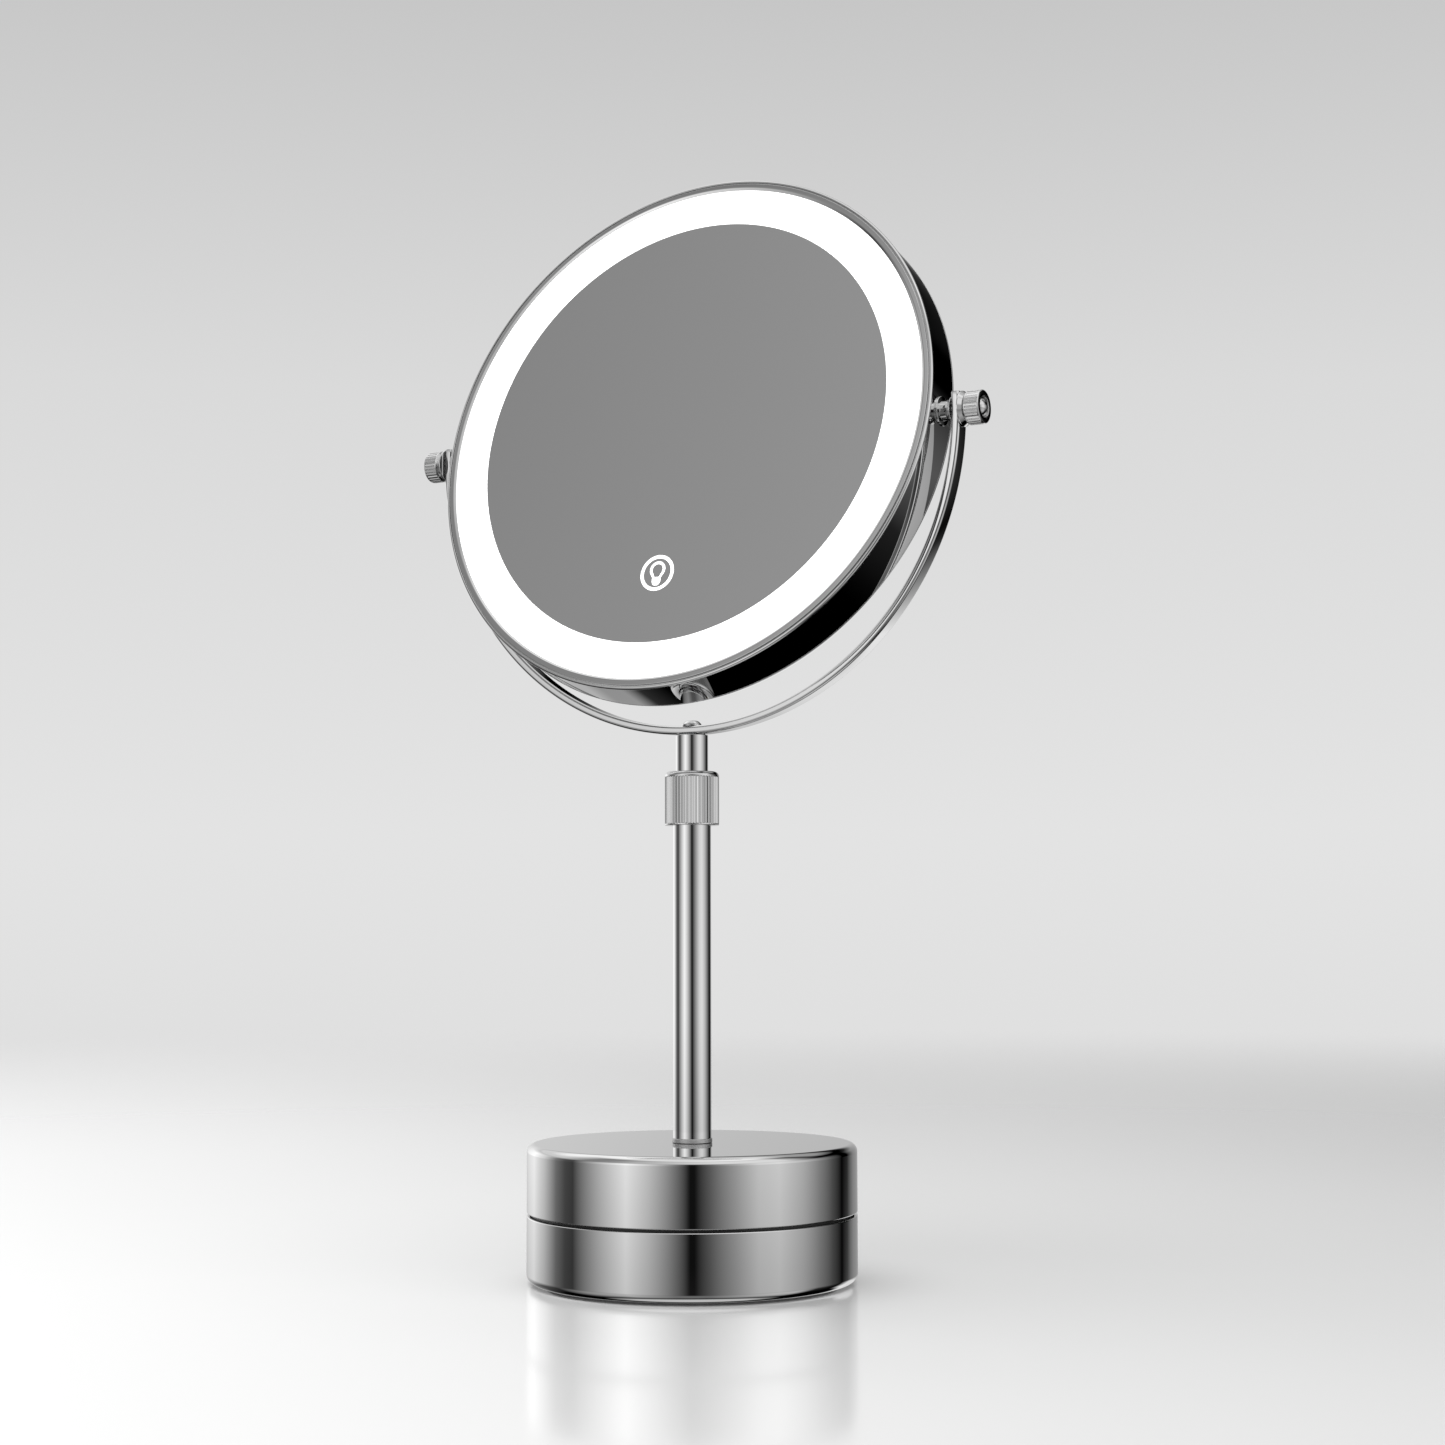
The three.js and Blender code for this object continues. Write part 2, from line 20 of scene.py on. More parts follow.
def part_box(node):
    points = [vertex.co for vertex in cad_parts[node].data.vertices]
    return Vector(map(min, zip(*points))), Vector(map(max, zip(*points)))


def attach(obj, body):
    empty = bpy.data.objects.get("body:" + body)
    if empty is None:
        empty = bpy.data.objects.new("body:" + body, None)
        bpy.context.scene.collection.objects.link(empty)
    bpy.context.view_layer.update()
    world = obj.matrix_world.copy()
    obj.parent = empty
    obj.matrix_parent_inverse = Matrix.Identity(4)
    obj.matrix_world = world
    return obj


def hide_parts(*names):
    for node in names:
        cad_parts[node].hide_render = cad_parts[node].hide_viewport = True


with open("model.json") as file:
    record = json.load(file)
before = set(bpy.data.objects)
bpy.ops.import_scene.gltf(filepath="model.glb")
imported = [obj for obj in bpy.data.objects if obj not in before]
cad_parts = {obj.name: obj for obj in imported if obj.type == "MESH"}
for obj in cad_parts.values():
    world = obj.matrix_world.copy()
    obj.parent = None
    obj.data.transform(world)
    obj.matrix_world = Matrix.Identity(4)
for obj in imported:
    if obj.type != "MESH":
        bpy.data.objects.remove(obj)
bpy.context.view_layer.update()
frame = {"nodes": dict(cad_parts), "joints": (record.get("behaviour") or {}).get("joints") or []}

MM = 0.001
DEG = math.radians(1)
LOG = logging.getLogger("shaving_mirror")

WELD = 1e-7  # points closer than this become one
TINY = 1e-9  # room for rounding when numbers are compared
SHARP_EDGE = 38 * DEG  # edges that turn further than this stay crisp
DRILL_ROOM = 4.0  # millimetres that a drill runs past each side of a wall

TILT = 15.3 * DEG  # the lit face looks up by this much at rest
CAMERA_AZIMUTH = 30.33 * DEG  # the side the object is seen from, measured from the front


def joint_place(name: str) -> Vector:
    """Finds where a joint turns.

    Args:
        name: The joint's name in the record.

    Returns:
        The joint's position in the frame.
    """
    joint = next(j for j in frame["joints"] if j["name"] == name)
    return Vector(joint["pos_m"])


class Seat(Enum):
    """Where a turned piece's own Z axis lies in the object."""

    STAND = "up the pole, from the base's underside"
    LEFT_PIVOT = "out of the head's left side"
    RIGHT_PIVOT = "out of the head's right side"
    HEAD = "out of the lit face"

    def matrix(self) -> Matrix:
        """Returns the placement of a piece made about Z at the origin."""
        if self is Seat.STAND:
            return Matrix.Identity(4)
        pivot = Matrix.Translation(joint_place("head_tilt"))
        if self is Seat.HEAD:
            return pivot @ Matrix.Rotation(math.pi / 2 - TILT, 4, "X")
        side = -1 if self is Seat.LEFT_PIVOT else 1
        return pivot @ Matrix.Rotation(side * math.pi / 2, 4, "Y")


# ---- Meshes ----


@dataclass(frozen=True)
class Corner:
    """A corner of a turned outline, with the radius it is rounded to."""

    radius: float
    height: float
    fillet: float = 0.0

    @property
    def point(self) -> Vector:
        """The corner as a point in the outline's plane."""
        return Vector((self.radius, self.height))


def heights(node: str) -> tuple[float, float]:
    """Returns a frame node's lowest and highest point in millimetres."""
    low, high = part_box(node)
    return low[2] / MM, high[2] / MM


def corners(*values: Sequence[float]) -> list[Corner]:
    """Makes an outline from millimetres.

    Args:
        *values: (radius, height) or (radius, height, fillet) of each corner, in order.

    Returns:
        The corners, in metres.
    """
    return [Corner(*(v * MM for v in value)) for value in values]


def rounded(outline: Sequence[Corner], steps: int = 8) -> list[Vector]:
    """Rounds the corners of an outline.

    Args:
        outline: Corners in order. An outline that starts and ends on the axis stays open there.
        steps: Segments in each rounded corner.

    Returns:
        Points along the rounded outline.
    """
    points: list[Vector] = []
    for i, corner in enumerate(outline):
        if corner.fillet == 0:
            points.append(corner.point)
            continue
        before = (outline[i - 1].point - corner.point).normalized()
        after = (outline[(i + 1) % len(outline)].point - corner.point).normalized()
        half = before.angle(after) / 2
        reach = corner.fillet / math.tan(half)
        start, end = corner.point + before * reach, corner.point + after * reach
        centre = corner.point + (before + after).normalized() * (corner.fillet / math.sin(half))
        sweep = (start - centre).angle_signed(end - centre)
        for k in range(steps + 1):
            turn = Matrix.Rotation(-sweep * k / steps, 2)
            points.append(centre + turn @ (start - centre))
    return points


def swept(name: str, verts: list[Vector], count: int, place: Matrix, looped: bool = True,
          open_sections: bool = False) -> bpy.types.Object:
    """Skins a row of sections, with merged points and smooth shading between sharp edges.

    Args:
        name: The piece's name.
        verts: Points of the sections, one section after another.
        count: Points in one section.
        place: Placement of the piece in the object.
        looped: Whether the last section joins the first. If not, both ends are closed flat.
        open_sections: Whether a section's last point stays apart from its first.

    Returns:
        The piece, with its origin at the frame's origin.
    """
    faces = [] if looped else [tuple(range(count)), tuple(range(len(verts) - count, len(verts)))]
    for here in range(0, len(verts) if looped else len(verts) - count, count):
        there = (here + count) % len(verts)
        for k in range(count - 1 if open_sections else count):
            after = (k + 1) % count
            faces.append((here + k, there + k, there + after, here + after))
    mesh = bpy.data.meshes.new(name)
    mesh.from_pydata(verts, [], faces)
    work = bmesh.new()
    work.from_mesh(mesh)
    bmesh.ops.remove_doubles(work, verts=work.verts, dist=WELD)
    bmesh.ops.recalc_face_normals(work, faces=work.faces)
    for face in work.faces:
        face.smooth = True
    work.to_mesh(mesh)
    work.free()
    mesh.transform(place)
    mesh.set_sharp_from_angle(angle=SHARP_EDGE)
    piece = bpy.data.objects.new(name, mesh)
    bpy.context.scene.collection.objects.link(piece)
    shading = piece.modifiers.new("weighted normals", "WEIGHTED_NORMAL")
    shading.keep_sharp = True
    shading.weight = 100
    return piece


@dataclass(frozen=True)
class Flutes:
    """Straight grooves cut along the outside of a turned piece."""

    count: int
    depth: float
    low: float
    high: float
    width: float = 1.0  # share of the pitch that the groove takes
    samples: int = 12  # mesh steps in one pitch

    def cut(self, angle: float, height: float) -> float:
        """Returns how deep the outside is cut at this angle and height."""
        if not self.low <= height <= self.high:
            return 0.0
        phase = angle * self.count / (2 * math.pi) % 1.0
        off_middle = abs(phase - 0.5) / (self.width / 2)
        return self.depth * 0.5 * (1 + math.cos(math.pi * min(off_middle, 1.0)))


def turned(name: str, outline: Sequence[Corner], seat: Seat = Seat.STAND, steps: int = 192,
           flutes: Flutes | None = None) -> bpy.types.Object:
    """Turns an outline about its axis.

    Args:
        name: The piece's name.
        outline: Corners of half its section.
        seat: Where its axis lies.
        steps: Segments round the axis, unless it is fluted.
        flutes: Grooves along its outside, if it has any.

    Returns:
        The piece.
    """
    points = rounded(outline)
    on_axis = points[0].x < TINY and points[-1].x < TINY
    outside = max(point.x for point in points) - 1e-6  # with room for rounding
    steps = flutes.count * flutes.samples if flutes else steps
    verts = []
    for i in range(steps):
        angle = 2 * math.pi * i / steps
        for point in points:
            radius = point.x
            if flutes and radius > outside:
                radius -= flutes.cut(angle, point.y)
            verts.append(Vector((radius * math.cos(angle), radius * math.sin(angle), point.y)))
    return swept(name, verts, len(points), seat.matrix(), open_sections=on_axis)


def bored(piece: bpy.types.Object, radius: float, seat: Seat, low: float, high: float) -> None:
    """Drills a round hole through a piece's wall.

    Args:
        piece: The piece to drill. Its modifiers are kept.
        radius: The hole's radius in millimetres.
        seat: Where the hole's axis lies.
        low: Where the wall starts along the axis, in millimetres.
        high: Where it ends.
    """
    start, end = low - DRILL_ROOM, high + DRILL_ROOM
    drill = turned("drill", corners((0, start), (radius, start), (radius, end), (0, end)), seat, 48)
    drill.modifiers.clear()
    cut = piece.modifiers.new("bore", "BOOLEAN")
    cut.operation, cut.solver, cut.object = "DIFFERENCE", "EXACT", drill
    kept = piece.modifiers[0]
    kept.show_viewport = False  # the weighted normals come after the hole
    bpy.context.view_layer.update()
    baked = bpy.data.meshes.new_from_object(piece.evaluated_get(bpy.context.evaluated_depsgraph_get()))
    kept.show_viewport = True
    piece.modifiers.remove(cut)
    piece.data = baked
    baked.name = piece.name
    bpy.data.objects.remove(drill)


# ---- Finishes ----


def srgb(code: str) -> tuple[float, float, float, float]:
    """Turns an sRGB hex colour to linear.

    Args:
        code: Six hex digits.

    Returns:
        Linear red, green, blue and 1.
    """
    def linear(value: float) -> float:
        """Undoes the sRGB curve for one channel."""
        return value / 12.92 if value <= 0.04045 else ((value + 0.055) / 1.055) ** 2.4

    red, green, blue = (linear(int(code[i:i + 2], 16) / 255) for i in (0, 2, 4))
    return red, green, blue, 1.0


def add_node(tree: bpy.types.NodeTree, kind: str, settings: dict | None = None,
             links: dict | None = None) -> bpy.types.Node:
    """Adds a node with its settings and links.

    Args:
        tree: The node tree.
        kind: The node's type name.
        settings: Values by socket name or number, or by attribute name.
        links: Output sockets by the name or number of the input they feed.

    Returns:
        The node.
    """
    node = tree.nodes.new(kind)
    for key, value in (settings or {}).items():
        if isinstance(key, int) or key in node.inputs:
            node.inputs[key].default_value = value
        else:
            setattr(node, key, value)
    for key, socket in (links or {}).items():
        tree.links.new(socket, node.inputs[key])
    return node


@dataclass(frozen=True)
class Finish:
    """A surface finish. The pattern is noise of a real grain size that shifts gloss, tone and height."""

    name: str
    slot: str  # the record's slot that it belongs to
    colour: str
    metallic: float = 0.0
    roughness: float = 0.5
    grain: float = 5 * MM  # size of the pattern's features
    stretch: tuple[float, float, float] = (1.0, 1.0, 1.0)  # above 1 packs the pattern tighter that way
    gloss_shift: float = 0.0  # how far roughness wanders either way
    tone_shift: float = 0.0  # share by which the colour darkens in the pattern
    relief: float = 0.0  # height of the pattern
    ior: float | None = None  # left alone on a metal
    coat: float = 0.0
    glow: float = 0.0

    def material(self) -> bpy.types.Material:
        """Returns the finish's material, made once."""
        made = bpy.data.materials.get(self.name)
        return made or self._build()

    def _build(self) -> bpy.types.Material:
        """Builds the material's nodes."""
        material = bpy.data.materials.new(self.name)
        material.use_nodes = True
        tree = material.node_tree
        tree.nodes.clear()
        shader = add_node(tree, "ShaderNodeBsdfPrincipled", {
            "Base Color": srgb(self.colour), "Metallic": self.metallic, "Roughness": self.roughness,
            "Coat Weight": self.coat, "Coat Roughness": 0.05,
        })
        if self.ior:
            shader.inputs["IOR"].default_value = self.ior
        if self.glow:
            shader.inputs["Emission Color"].default_value = srgb(self.colour)
            shader.inputs["Emission Strength"].default_value = self.glow
        pattern = self._pattern(tree)
        if self.gloss_shift:
            spread = add_node(tree, "ShaderNodeMapRange", {
                "To Min": max(self.roughness - self.gloss_shift, 0.0),
                "To Max": self.roughness + self.gloss_shift,
            }, {"Value": pattern})
            tree.links.new(spread.outputs["Result"], shader.inputs["Roughness"])
        if self.tone_shift:
            dark = tuple(c * (1 - self.tone_shift) for c in srgb(self.colour)[:3]) + (1.0,)
            tone = add_node(tree, "ShaderNodeMixRGB", {"Color1": dark, "Color2": srgb(self.colour)},
                            {"Fac": pattern})
            tree.links.new(tone.outputs["Color"], shader.inputs["Base Color"])
        if self.relief:
            bump = add_node(tree, "ShaderNodeBump", {"Strength": 1.0, "Distance": self.relief},
                            {"Height": pattern})
            tree.links.new(bump.outputs["Normal"], shader.inputs["Normal"])
        add_node(tree, "ShaderNodeOutputMaterial", {}, {"Surface": shader.outputs["BSDF"]})
        return material

    def _pattern(self, tree: bpy.types.NodeTree) -> bpy.types.NodeSocket:
        """Returns the output of the finish's noise pattern."""
        place = add_node(tree, "ShaderNodeTexCoord")
        sized = add_node(tree, "ShaderNodeMapping", {"Scale": self.stretch},
                         {"Vector": place.outputs["Object"]})
        noise = add_node(tree, "ShaderNodeTexNoise", {"Scale": 1 / self.grain, "Detail": 3.0},
                         {"Vector": sized.outputs["Vector"]})
        return noise.outputs["Fac"]

    def dress(self, *pieces: bpy.types.Object) -> None:
        """Puts the finish on pieces, in place of what they have."""
        for piece in pieces:
            piece.data.materials.clear()
            piece.data.materials.append(self.material())


# Polished chrome plate on brass: nearly a mirror, a little darker than silver, with faint
# buffing marks that soften its highlights.
CHROME = Finish("polished_chrome_plate", "chrome", "D8D8D8", metallic=1.0, roughness=0.02, grain=14 * MM,
                gloss_shift=0.008, relief=0.0003 * MM)
# Fluting is plated straight over the cutter's marks, so its reflections run together into soft grey.
FLUTED_CHROME = Finish("fluted_chrome_plate", "chrome", "E2E2E2", metallic=1.0, roughness=0.2,
                       grain=0.5 * MM, gloss_shift=0.04, tone_shift=0.04)
# The foot ring is left as turned, so it stays an even grey with no clear reflections.
SATIN = Finish("satin_turned_steel", "chrome", "CACACA", metallic=1.0, roughness=0.5, grain=0.4 * MM,
               stretch=(1, 1, 8), gloss_shift=0.06, tone_shift=0.1, relief=0.001 * MM)
# Silvered float glass: the sharpest reflections on the object, slightly dulled by the glass.
SILVERED = Finish("silvered_float_glass", "mirror", "E6E6E6", metallic=1.0, roughness=0.008, grain=40 * MM,
                  gloss_shift=0.004)
# Sand-blasted glass lit from behind: an even white in which no single chip shows.
FROSTED = Finish("frosted_glass_lit", "frosted_light", "FFFFFF", roughness=0.6, grain=0.3 * MM,
                 gloss_shift=0.05, glow=1.02)
# The key's mark is etched through the silvering and lit by the same board.
ETCHED = Finish("etched_key_mark_lit", "frosted_light", "FFFFFF", roughness=0.5, grain=0.3 * MM,
                gloss_shift=0.05, glow=0.95)
# Spark-eroded mould texture makes black plastic a soft, dark grey.
BLACK_ABS = Finish("black_moulded_abs", "black_plastic", "171717", roughness=0.45, grain=0.6 * MM,
                   gloss_shift=0.06, relief=0.004 * MM, ior=1.53)
# White plastic with the faint flow marks of moulding.
WHITE_ABS = Finish("white_moulded_abs", "white_plastic", "ECECE6", roughness=0.42, grain=0.6 * MM,
                   gloss_shift=0.05, tone_shift=0.04, ior=1.53)
# Closed-cell foam rubber: dull and finely pitted, so that the base doesn't slide.
FOAM = Finish("foam_rubber", "rubber", "202021", roughness=0.9, grain=0.5 * MM, gloss_shift=0.05,
              tone_shift=0.35, relief=0.06 * MM, ior=1.52)
# Zinc plate on screws, nuts and plugs: a cloudy grey with spangle of a millimetre or two.
ZINC = Finish("zinc_plated_steel", "steel", "A9ACAE", metallic=1.0, roughness=0.3, grain=1.5 * MM,
              gloss_shift=0.08, tone_shift=0.12)
# Sand-cast iron: dark, rough and mottled.
CAST_IRON = Finish("cast_iron", "iron", "45474A", metallic=0.9, roughness=0.6, grain=1.2 * MM,
                   gloss_shift=0.1, tone_shift=0.3, relief=0.05 * MM)
# Turned brass with fine tool rings.
BRASS = Finish("turned_brass", "brass", "C2A461", metallic=1.0, roughness=0.25, grain=0.5 * MM,
               stretch=(1, 1, 6), gloss_shift=0.06, tone_shift=0.08)
# Nickel strip of the battery contacts: a warm grey with rubbed patches.
NICKEL = Finish("nickel_contact_strip", "nickel", "C4C3BC", metallic=1.0, roughness=0.22, grain=2 * MM,
                gloss_shift=0.06, tone_shift=0.06)
# Solder mask over fibreglass: glossy lacquer, white under the light ring and green on the driver.
WHITE_BOARD = Finish("white_solder_mask", "led_board", "F1F1EC", roughness=0.35, grain=2 * MM,
                     gloss_shift=0.05, tone_shift=0.03, ior=1.5)
GREEN_BOARD = Finish("green_solder_mask", "circuit_board", "1F6B45", roughness=0.3, grain=1 * MM,
                     gloss_shift=0.06, tone_shift=0.25, ior=1.5)
# Shrink film on a cell: glossy, with slow waves where it drew tight.
CELL_WRAP = Finish("cell_sleeve_film", "cell", "3A5872", metallic=0.2, roughness=0.3, grain=6 * MM,
                   gloss_shift=0.05, tone_shift=0.08, ior=1.5)
# Soft black sleeve of the leads, slightly waxy.
LEAD_PVC = Finish("lead_pvc", "lead", "232323", roughness=0.5, grain=0.8 * MM, gloss_shift=0.08,
                  relief=0.01 * MM, ior=1.53)


@dataclass
class Assembly:
    """What every sub-assembly shares: its pieces join a body and stand for frame nodes."""

    body: str

    def keep(self, piece: bpy.types.Object, finish: Finish, node: str | None = None, body: str = "") -> None:
        """Dresses a piece and ties it to the frame.

        Args:
            piece: The new piece.
            finish: Its finish.
            node: The frame node that it stands for, if it stands for one.
            body: The body it rides on, if not the assembly's own.
        """
        finish.dress(piece)
        if node:
            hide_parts(node)
        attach(piece, body or self.body)
        LOG.info("%s: %d faces on %s", piece.name, len(piece.data.polygons), body or self.body)


# ---- Base ----


@dataclass
class Base(Assembly):
    """The round drum: two chromed halves with a dark ring between, on a foam pad."""

    body: str = "base_upper"
    radius: float = 60.0  # these sizes are in millimetres, as the outlines are
    wall: float = 1.2
    round_edge: float = 3.0
    inside_round: float = 1.8
    lip: float = 0.42  # rounding of the edges at the seam
    stud_hole: float = 5.3
    ring_gap: float = 0.3  # room between the bayonet ring and the shells
    ring_wall: float = 2.0
    ring_edge: float = 0.3
    pad_edge: float = 0.25
    steps: int = 288  # segments round the drum

    def build(self) -> None:
        """Builds the drum from the heights that the frame gives."""
        lower_low, lower_high = heights("base_lower_shell")
        upper_low, upper_high = heights("base_upper_shell")
        lower, upper = self._cup(lower_low, lower_high), self._cup(upper_high, upper_low)
        self.keep(turned("base_lower_cup", lower, steps=self.steps), CHROME, "base_lower_shell", "base_lower")
        self.keep(turned("base_upper_cup", upper, steps=self.steps), CHROME, "base_upper_shell")
        self._ring()
        self._pad()

    def _cup(self, closed_end: float, open_end: float) -> list[Corner]:
        """Outline of one half, from the middle of its closed end.

        Args:
            closed_end: Height of the flat end.
            open_end: Height of the lip.

        Returns:
            The outline; the upper half also has a hole for the pole's stud.
        """
        up = 1 if open_end > closed_end else -1
        inner = self.radius - self.wall
        hole = 0.0 if up > 0 else self.stud_hole
        return corners(
            (hole, closed_end), (self.radius, closed_end, self.round_edge),
            (self.radius, open_end, self.lip), (inner, open_end, self.lip),
            (inner, closed_end + up * self.wall, self.inside_round), (hole, closed_end + up * self.wall),
        )

    def _ring(self) -> None:
        """Builds the bayonet ring that shows as the dark seam: a band with a lip turned in at its top."""
        low, high = heights("bayonet_ring")
        wall, edge = self.ring_wall, self.ring_edge
        outer = self.radius - self.wall - self.ring_gap
        outline = corners((outer - wall, low, edge), (outer, low, edge), (outer, high, edge),
                          (outer - 2 * wall, high, edge), (outer - 2 * wall, high - wall, edge),
                          (outer - wall, high - wall, edge))
        self.keep(turned("bayonet_seam_ring", outline, steps=self.steps), BLACK_ABS, "bayonet_ring")

    def _pad(self) -> None:
        """Builds the foam pad with its cut edge."""
        low, high = heights("base_pad")
        half_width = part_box("base_pad")[1][0] / MM
        outline = corners((0, low), (half_width, low, self.pad_edge),
                          (half_width, high, self.pad_edge * 0.4), (0, high))
        self.keep(turned("base_foam_pad", outline), FOAM, "base_pad", "base_lower")


# ---- Pole ----


@dataclass
class Pole(Assembly):
    """The foot ring, the two tubes and the fluted collar that locks them."""

    body: str = "base_upper"
    outer_radius: float = 7.0
    outer_bore: float = 6.3
    inner_radius: float = 6.0
    inner_bore: float = 5.1
    seated: float = 0.2  # how far a tube's ends run into the frame's clearance
    tube_edge: float = 0.2
    bore_edge: float = 0.12
    foot_ring_step: float = 0.3  # how far the foot ring stands out from the tube
    foot_ring_bore: float = 5.4
    clearance: float = 0.3  # room between the collar and the tubes
    collar_radius: float = 10.0
    collar_flutes: int = 48
    flute_depth: float = 0.36
    flute_end: float = 0.25  # length over which a flute runs out
    plain_foot: float = 0.5  # smooth band below the flutes
    crown: float = 1.9  # smooth top above the flutes
    shoulder: float = 1.7  # rounding of the top

    def build(self) -> None:
        """Builds the pole's visible pieces."""
        foot_ring_radius = self.outer_radius + self.foot_ring_step
        self._tube("foot_ring", "pole_foot_ring", foot_ring_radius, self.foot_ring_bore, SATIN, self.body)
        self._tube("fixed_tube", "outer_tube", self.outer_radius, self.outer_bore, CHROME, self.body)
        self._tube("sliding_tube", "inner_tube", self.inner_radius, self.inner_bore, CHROME, "riser")
        self._collar()

    def _tube(self, name: str, node: str, radius: float, bore: float, finish: Finish, body: str) -> None:
        """Builds one tube with broken edges.

        Args:
            name: The piece's name.
            node: The frame node it stands for.
            radius: Outside radius in millimetres.
            bore: Inside radius in millimetres.
            finish: Its finish.
            body: The body it rides on.
        """
        low, high = heights(node)
        low, high = low - self.seated, high + self.seated
        outline = corners((bore, low, self.bore_edge), (radius, low, self.tube_edge),
                          (radius, high, self.tube_edge), (bore, high, self.bore_edge))
        self.keep(turned(name, outline, steps=144), finish, node, body)

    def _collar(self) -> None:
        """Builds the lock collar: straight flutes below a smooth rounded shoulder."""
        low, high = heights("lock_collar")
        radius, under_crown = self.collar_radius, high - self.crown
        bore, neck = self.outer_radius + self.clearance, self.inner_radius + self.clearance
        flute_low, flute_high, run = low + self.plain_foot, under_crown, self.flute_end
        outline = corners(
            (bore, low, 0.15), (radius, low, 0.25), (radius, flute_low), (radius, flute_low + run),
            (radius, flute_high - run), (radius, flute_high), (radius, high, self.shoulder),
            (neck, high, 0.2), (neck, under_crown), (bore, under_crown),
        )
        flutes = Flutes(self.collar_flutes, self.flute_depth * MM, (flute_low + run / 2) * MM,
                        (flute_high - run / 2) * MM)
        self.keep(turned("fluted_lock_collar", outline, flutes=flutes), CHROME, "lock_collar", "collar")


# ---- Yoke and pivots ----


@dataclass
class Yoke(Assembly):
    """The half-round bar that holds the head, its screw, and the cones and flanges at its ends."""

    # Along the bar's ends: share of end_edge, and how far the section has grown there.
    END_TAPER: ClassVar[tuple] = ((0.0, 0.88), (0.3, 0.97), (1.0, 1.0))

    body: str = "yoke"
    inner: float = 107.2  # these sizes are in millimetres
    outer: float = 110.4
    depth: float = 7.0
    edge: float = 1.1  # rounding of the long edges
    end_edge: float = 0.35
    end_angle: float = 3.2 * DEG  # how far the bar runs above the pivot axis
    pivot_hole: float = 2.6
    screw_hole: float = 2.3
    screw_shank: float = 1.9
    screw_head: float = 3.7
    screw_head_height: float = 2.05
    cone_bore: float = 3.56
    cone_radius: float = 4.8
    cone_length: float = 2.0
    flange_radius: float = 6.35
    flange_end: float = 5.2
    flange_length: float = 1.75
    steps: int = 220

    def build(self) -> None:
        """Builds the bar, its screw and the turned pieces at the pivots."""
        bar = self._bar()
        for seat in (Seat.LEFT_PIVOT, Seat.RIGHT_PIVOT):
            bored(bar, self.pivot_hole, seat, self.inner, self.outer)
        pivot = joint_place("head_tilt").z / MM
        bored(bar, self.screw_hole, Seat.STAND, pivot - self.outer, pivot - self.inner)
        self.keep(bar, CHROME, "yoke")
        self._screw()
        for seat, side in ((Seat.LEFT_PIVOT, "left"), (Seat.RIGHT_PIVOT, "right")):
            self._cone(seat, side)
            self._flange(seat, side)

    def _bar(self) -> bpy.types.Object:
        """Sweeps the rounded section of the bar round the lower half circle.

        Returns:
            The bar, with its ends closed and broken at the edge.
        """
        middle, half, deep = (self.inner + self.outer) / 2, (self.outer - self.inner) / 2, self.depth / 2
        section = rounded(corners((-half, -deep, self.edge), (half, -deep, self.edge),
                                  (half, deep, self.edge), (-half, deep, self.edge)), 7)
        start, end = math.pi - self.end_angle, 2 * math.pi + self.end_angle
        taper = [(self.end_edge / middle * share, scale) for share, scale in self.END_TAPER]
        stations = [(start + turn, scale) for turn, scale in taper]
        stations += [(start + (end - start) * i / self.steps, 1.0) for i in range(1, self.steps)]
        stations += [(end - turn, scale) for turn, scale in reversed(taper)]
        verts = []
        for angle, scale in stations:
            for point in section:
                radius = middle * MM + point.x * scale
                verts.append(Vector((radius * math.cos(angle), point.y * scale, radius * math.sin(angle))))
        place = Matrix.Translation(joint_place("head_tilt"))
        return swept("bent_yoke_bar", verts, len(section), place, looped=False)

    def _screw(self) -> None:
        """Builds the dome-headed screw on the inside of the bar's lowest point."""
        low, high = heights("yoke_screw")
        shank, head, seat = self.screw_shank, self.screw_head, high - self.screw_head_height
        outline = corners((0, low), (shank, low, 0.3), (shank, seat), (head, seat, 0.1),
                          (head - 0.1, seat + 0.7, 0.3), (2.4, seat + 1.9, 1.6), (0, high))
        self.keep(turned("yoke_dome_screw", outline, steps=96), CHROME, "yoke_screw", "riser")

    def _cone(self, seat: Seat, side: str) -> None:
        """Builds the small trumpet-shaped spacer between the stud and the bar."""
        bore, radius, face = self.cone_bore, self.cone_radius, self.inner - 0.12
        small_end = face - self.cone_length
        outline = corners((bore, small_end, 0.05), (bore + 0.2, small_end, 0.05), (3.9, face - 0.9, 1.2),
                          (radius, face - 0.25, 0.12), (radius, face, 0.08), (bore, face, 0.05))
        self.keep(turned(f"pivot_cone_{side}", outline, seat, 96), CHROME, f"pivot_spacer_{side}")

    def _flange(self, seat: Seat, side: str) -> None:
        """Builds the tapered flange between the bar and the knob."""
        bore, radius, face = self.pivot_hole, self.flange_radius, self.outer + 0.1
        far = face + self.flange_length
        outline = corners((bore, face, 0.1), (radius, face, 0.1), (radius, face + 0.4, 0.2),
                          (self.flange_end, far, 0.15), (bore, far, 0.1))
        self.keep(turned(f"pivot_flange_{side}", outline, seat, 96), CHROME, f"knob_washer_{side}")


